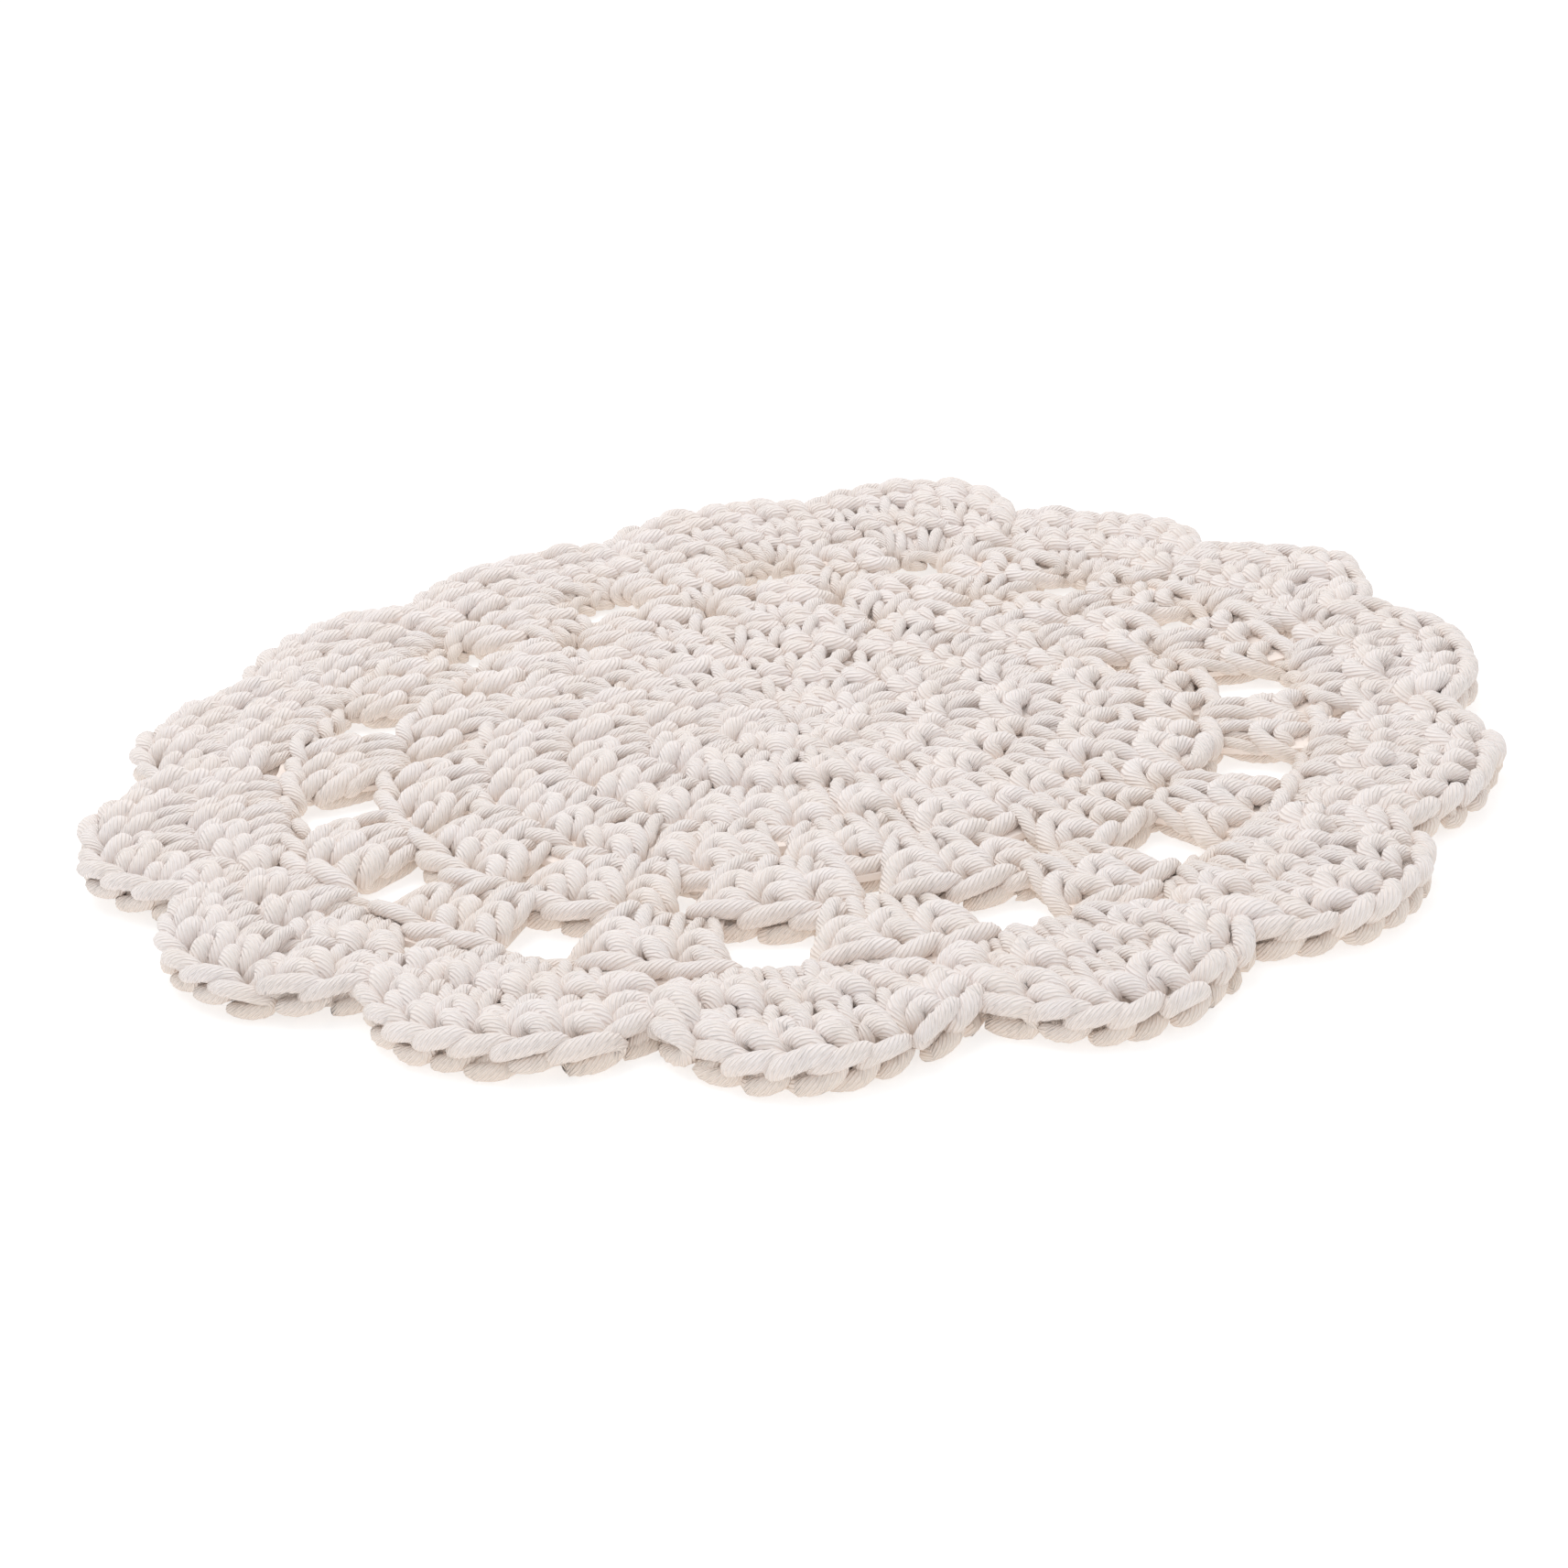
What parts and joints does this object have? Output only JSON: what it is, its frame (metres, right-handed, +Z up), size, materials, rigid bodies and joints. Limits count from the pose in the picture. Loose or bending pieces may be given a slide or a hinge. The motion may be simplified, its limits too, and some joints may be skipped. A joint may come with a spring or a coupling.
{
  "type": "crocheted cotton doily",
  "caption": "Round crocheted doily of thick ecru cotton cord with a scalloped rim and a ring of open windows, laid flat under a pot or plate.",
  "frame": {"origin": "middle of the crochet's first round, on the flat underside that lies on the table", "axes": "+Z up out of the table through the right side of the crochet, +Y away from the viewer of the picture, +X to the viewer's right"},
  "size_m": [0.3609, 0.361, 0.0158],
  "materials": {
    "cotton_cord": "matte undyed cotton cord, loosely twisted, crocheted"
  },
  "bodies": {
    "root": {"doily": "cotton_cord"}
  },
  "joints": []
}
